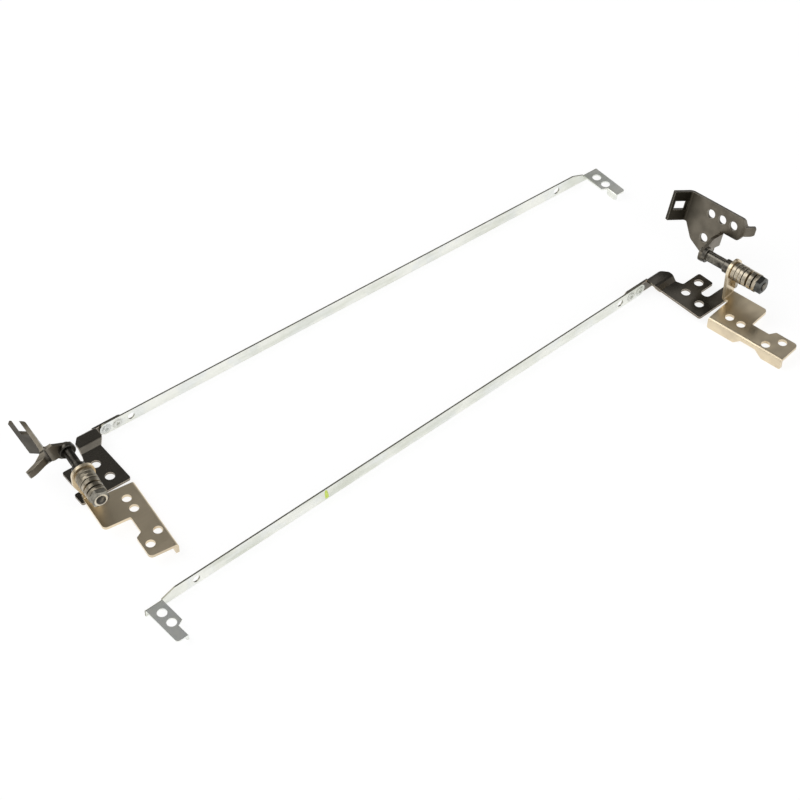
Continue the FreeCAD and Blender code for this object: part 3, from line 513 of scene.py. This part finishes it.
class HINGES_OT_base_arms(bpy.types.Operator):
    """Gunmetal plating on the folded base arms, with painted shade darkening their flanges"""
    bl_idname = "hinges.base_arms"
    bl_label = "Base arms"

    def execute(self, context):
        scene = context.scene
        details = scene.hinge_details
        for side in SIDES:
            flange = getattr(details, f"{side}_flange")
            dark = getattr(details, f"{side}_flange_shade")
            kept = getattr(details, f"{side}_flange_unshaded_edge")
            finish = plated_sheet(f"{side}_gunmetal_plate", "gunmetal", scene)
            # Painted shade: the arm darkens towards its flange end, standing in for a dark reflection; the
            # flange's edges can stay out of it
            away = finish.maths("ABSOLUTE", finish.along(HINGES[side]))
            oil_and_shade = finish.spread(away, flange - details.flange_fade, flange, 0.0, dark)
            bare_and_lit = finish.maths("MULTIPLY", finish.edge(details.bare_and_lit_edge), kept)
            oil_and_shade = finish.maths("MULTIPLY", oil_and_shade, finish.maths("SUBTRACT", 1.0, bare_and_lit))
            finish.tint(oil_and_shade, scene.hinge_colours.gunmetal_painted_shade)
            dress(finish, f"{side}_base_arm")
        return {"FINISHED"}


class HINGES_OT_shafts(bpy.types.Operator):
    """Darkened turned steel on the shafts, with a peened button on each end"""
    bl_idname = "hinges.shafts"
    bl_label = "Shafts"

    def execute(self, context):
        colours, details = context.scene.hinge_colours, context.scene.hinge_details
        for side in SIDES:
            oil_and_shade = getattr(details, f"{side}_oil")
            finish = turned_steel(f"{side}_shaft_steel", "shaft", colours, HINGES[side], oil_and_shade)
            dress(finish, f"{side}_hinge_shaft")
            self.add_button(side, details, finish)
        return {"FINISHED"}

    def add_button(self, side, details, finish):
        """Button: radius R sin(t), height h cos(t) above the shaft's end, t from its top to just
        below the rim, which is sunk in the shaft and capped."""
        joint = HINGES[side]
        outward = np.array(joint["axis"]) * (1.0 if side == "left" else -1.0)
        start = np.array(joint["pos_m"])
        reach = ((node_points(f"{side}_hinge_shaft") - start) @ outward).max()
        reach -= details.button_height * BUTTON_START
        t = np.linspace(BUTTON_START, QUARTER_TURN + BUTTON_SUNK, BUTTON_STEPS)
        points = round_surface(
            start + outward * reach, outward,
            details.button_radius * np.sin(t), details.button_height * np.cos(t))
        add_piece(
            f"{side}_shaft_button", points[::-1], finish, f"{side}_arm", "dark_steel",
            close_columns=True, caps=True)


class HINGES_OT_washers(bpy.types.Operator):
    """Oiled bare steel on the washers of both stacks"""
    bl_idname = "hinges.washers"
    bl_label = "Washer stacks"

    def execute(self, context):
        colours, details = context.scene.hinge_colours, context.scene.hinge_details
        pieces = ["friction_washer", "thrust_washer", "spacer_washer", "end_washer"]
        pieces += [f"spring_washer_{number}" for number in range(1, 5)]
        for side in SIDES:
            oil_and_shade = getattr(details, f"{side}_oil")
            finish = turned_steel(f"{side}_washer_steel", "washer", colours, HINGES[side], oil_and_shade)
            dress(finish, *(f"{side}_{piece}" for piece in pieces))
        return {"FINISHED"}


class HINGES_OT_nuts(bpy.types.Operator):
    """Blackened steel on the end nuts, worn, with a painted highlight on the left one's end face"""
    bl_idname = "hinges.nuts"
    bl_label = "End nuts"

    def execute(self, context):
        colours = context.scene.hinge_colours
        left = turned_steel("left_nut_steel", "nut_worn", colours, HINGES["left"])
        self.paint_end_highlight(left, colours, HINGES["left"])
        dress(left, "left_end_nut")
        right = turned_steel("right_nut_steel", "nut", colours, HINGES["right"])
        dress(right, "right_end_nut")
        return {"FINISHED"}

    def paint_end_highlight(self, finish, colours, joint):
        """Painted highlight on the nut's end face, standing in for its reflection.
        The nut turns about its own line only, so its end faces the same way in every pose.
        """
        normal = finish.add("ShaderNodeNewGeometry").outputs["True Normal"]
        end_highlight = finish.spread(finish.dot(normal, joint["axis"]), *NUT_END_HIGHLIGHT)
        finish.tint(end_highlight, colours.nut_end_highlight)


class HINGES_OT_rail_strips(bpy.types.Operator):
    """Bright zinc on the rail strips, with bare cut edges and a paint stroke on the right one"""
    bl_idname = "hinges.rail_strips"
    bl_label = "Rail strips"

    def execute(self, context):
        colours, details = context.scene.hinge_colours, context.scene.hinge_details
        half = details.strip_half
        for side in SIDES:
            finish = zinc_plate(f"{side}_bright_zinc", colours, STRIP_METALLIC)
            depth = finish.maths("ABSOLUTE", finish.along(MOUNTS[f"{side}_panel_screws"]))
            inside = finish.spread(depth, 1.1 * half, 2.0 * half, 1.0, 0.0)
            cut = finish.maths("MULTIPLY", finish.facing("X", 0.9, 0.0), inside)
            finish.tint(cut, colours.zinc_cut)
            dress(finish, f"{side}_rail_strip")
        self.add_stroke(details, paint_mark("paint", colours))
        return {"FINISHED"}

    def add_stroke(self, details, finish):
        """Stroke: v runs up the strip and a round the section, d sin(a) (1 - v^4) out of the
        strip's face and w (s(v) cos(a) sqrt(1 - v^6) - 0.4 v) across it, so half of the closed
        shape is sunk in the strip. The width swells towards the foot as
        s(v) = 1 - 0.25 v + 0.08 sin(19 v + 1)."""
        middle, direction, across = strip_face("right", details)
        rows, columns = STROKE_STEPS
        v, a = np.meshgrid(
            np.linspace(STROKE_TIP, -STROKE_TIP, rows),
            np.linspace(0.0, WHOLE_TURN, columns, endpoint=False), indexing="ij")
        swell = 1.0 - 0.25 * v + 0.08 * np.sin(19.0 * v + 1.0)
        wide = details.stroke_width * (swell * np.cos(a) * np.sqrt(1.0 - v ** 6) - 0.4 * v)
        wide -= details.stroke_place
        thick = details.stroke_depth * np.sin(a) * (1.0 - v ** 4)
        points = middle + direction * thick[..., None] + across * wide[..., None]
        low, high = details.stroke_low, details.stroke_high
        points[..., 2] = low + (high - low) * (v + 1.0) / 2
        add_piece(
            "right_paint_stroke", points, finish, "lid_side", "bright_zinc",
            close_columns=True, caps=True)


class HINGES_OT_rail_plates(bpy.types.Operator):
    """Dark plating on the joggled rail plates, with bare cut edges whose light colour is partly a painted
    reflection of the floor
    """
    bl_idname = "hinges.rail_plates"
    bl_label = "Rail plates"

    def execute(self, context):
        scene = context.scene
        finish = plated_sheet("black_plate", "black", scene)
        # Painted reflection: the cut side faces near the edges take a light bare-steel colour that also
        # stands in for the white floor they reflect
        edge = finish.edge(scene.hinge_details.bare_and_lit_edge)
        bare_and_lit = finish.maths("MULTIPLY", finish.facing("Z", 1.0, 0.0), edge)
        finish.tint(bare_and_lit, scene.hinge_colours.black_cut)
        dress(finish, *on_both("rail_plate"))
        return {"FINISHED"}


class HINGES_OT_rail_rivets(bpy.types.Operator):
    """Clinched rivets with a pressed ring round each one on the strip"""
    bl_idname = "hinges.rail_rivets"
    bl_label = "Rail rivets"

    def execute(self, context):
        finish = zinc_plate("pressed_zinc", context.scene.hinge_colours, RIVET_METALLIC)
        names = on_both("rail_rivet_1", "rail_rivet_2")
        dress(finish, *names)
        for name in names:
            self.add_ring(name, context.scene.hinge_details, finish)
        return {"FINISHED"}

    def add_ring(self, name, details, finish):
        """Ring: radius R - w cos(t), height h sin(t) above the strip, t over a whole turn, so
        half of it is sunk."""
        middle, direction, _ = strip_face(name.split("_")[0], details)
        corners = node_points(name)
        centre = (corners.min(axis=0) + corners.max(axis=0)) / 2
        centre += direction * ((middle - centre) @ direction)
        t = np.linspace(0.0, WHOLE_TURN, RING_STEPS, endpoint=False)
        points = round_surface(
            centre, direction,
            details.ring_radius - details.ring_width * np.cos(t), details.ring_height * np.sin(t))
        add_piece(
            f"{name}_ring", points[::-1], finish, "lid_side", "bright_zinc",
            close_columns=True, close_rows=True)


class HINGES_OT_stage(bpy.types.Operator):
    """Camera, white floor and soft room light"""
    bl_idname = "hinges.stage"
    bl_label = "Stage"

    def execute(self, context):
        scene, stage = context.scene, context.scene.hinge_stage
        self.make_camera(scene, stage)
        self.make_floor(scene, stage)
        self.make_room(scene, stage)
        for name, lamp in LAMPS.items():
            self.make_lamp(scene, name, *lamp)
        scene.view_settings.view_transform = "Standard"
        return {"FINISHED"}

    def make_camera(self, scene, stage):
        data = bpy.data.cameras.new("camera")
        data.lens = stage.lens
        data.sensor_width = SENSOR_WIDTH
        data.clip_start, data.clip_end = CLIP_START, CLIP_END
        camera = bpy.data.objects.new("camera", data)
        level = math.cos(stage.height)
        back = Vector((
            level * math.sin(stage.turn), -level * math.cos(stage.turn), math.sin(stage.height)))
        camera.location = Vector(stage.target) + back * stage.distance
        camera.rotation_euler = (-back).to_track_quat("-Z", "Y").to_euler()
        scene.collection.objects.link(camera)
        scene.camera = camera

    def make_floor(self, scene, stage):
        """Flat square: both parameters run from one side to the other at one height."""
        across = np.linspace(-stage.floor_size, stage.floor_size, FLOOR_STEPS)
        x, y = np.meshgrid(across, across)
        points = np.stack([x, y, np.full_like(x, -FLOOR_DROP)], axis=-1)
        floor = bpy.data.objects.new("floor", grid_mesh("floor", points))
        scene.collection.objects.link(floor)
        floor.data.materials.append(self.floor_finish(stage).material)

    def floor_finish(self, stage):
        """White that glows to the camera and in reflections, and still takes a faint shadow."""
        finish = Finish("floor_white")
        finish.set(
            Base_Color=(FLOOR_GREY, FLOOR_GREY, FLOOR_GREY), Roughness=FLOOR_ROUGHNESS,
            Specular_IOR_Level=0.0)
        path = finish.add("ShaderNodeLightPath")
        seen = finish.maths(
            "MAXIMUM", path.outputs["Is Camera Ray"], path.outputs["Is Glossy Ray"])
        seen = finish.maths("MAXIMUM", seen, path.outputs["Is Transmission Ray"])
        share = finish.maths("MULTIPLY", seen, stage.floor_glow)
        glow = finish.add("ShaderNodeEmission", Color=(1.0, 1.0, 1.0), Strength=stage.floor_white)
        mix = finish.add("ShaderNodeMixShader")
        finish.feed(mix, share, finish.shader.outputs[0], glow.outputs[0])
        finish.put(finish.tree.nodes["Material Output"].inputs["Surface"], mix.outputs[0])
        return finish

    def make_room(self, scene, stage):
        """Room that is bright at the horizon and dark overhead, with the dark lower behind."""
        world = bpy.data.worlds.new("room")
        scene.world = world
        world.use_nodes = True
        nodes = Nodes(world.node_tree)
        place = nodes.add("ShaderNodeTexCoord").outputs["Generated"]
        height = nodes.add("ShaderNodeSeparateXYZ", Vector=place).outputs["Z"]
        back = (-math.sin(stage.turn), math.cos(stage.turn), 0.0)
        behind = nodes.maths("MAXIMUM", nodes.dot(place, back), 0.0)
        lifted = nodes.maths("MULTIPLY_ADD", behind, stage.sky_back, height)
        sky = nodes.spread(
            lifted, stage.sky_start, stage.sky_end, stage.sky_low, stage.sky_high)
        nodes.put(nodes.tree.nodes["Background"].inputs["Color"], sky)

    def make_lamp(self, scene, name, place, size, power):
        data = bpy.data.lights.new(name, "AREA")
        data.size = size
        data.energy = power
        lamp = bpy.data.objects.new(name, data)
        lamp.location = place
        lamp.rotation_euler = (-Vector(place)).to_track_quat("-Z", "Y").to_euler()
        scene.collection.objects.link(lamp)


STEPS = (
    HINGES_OT_lid_brackets, HINGES_OT_base_arms, HINGES_OT_shafts, HINGES_OT_washers,
    HINGES_OT_nuts, HINGES_OT_rail_strips, HINGES_OT_rail_plates, HINGES_OT_rail_rivets,
    HINGES_OT_stage,
)
GROUPS = {
    "hinge_colours": HingeColours, "hinge_details": HingeDetails, "hinge_stage": HingeStage,
}


class HINGES_PT_panel(bpy.types.Panel):
    """Steps that dress the hinge set"""
    bl_idname = "HINGES_PT_panel"
    bl_label = "Laptop hinge set"
    bl_space_type = "VIEW_3D"
    bl_region_type = "UI"
    bl_category = "Hinges"

    def draw(self, context):
        for step in STEPS:
            self.layout.operator(step.bl_idname)
        for name, group in GROUPS.items():
            box = self.layout.box()
            for key in group.__annotations__:
                box.prop(getattr(context.scene, name), key)


def register():
    for name, group in GROUPS.items():
        bpy.utils.register_class(group)
        setattr(bpy.types.Scene, name, bpy.props.PointerProperty(type=group))
    for step in (*STEPS, HINGES_PT_panel):
        bpy.utils.register_class(step)


def unregister():
    for step in reversed((*STEPS, HINGES_PT_panel)):
        bpy.utils.unregister_class(step)
    for name, group in GROUPS.items():
        delattr(bpy.types.Scene, name)
        bpy.utils.unregister_class(group)


def main():
    register()
    for step in STEPS:
        group, name = step.bl_idname.split(".")
        getattr(getattr(bpy.ops, group), name)()


if __name__ == "__main__":
    main()
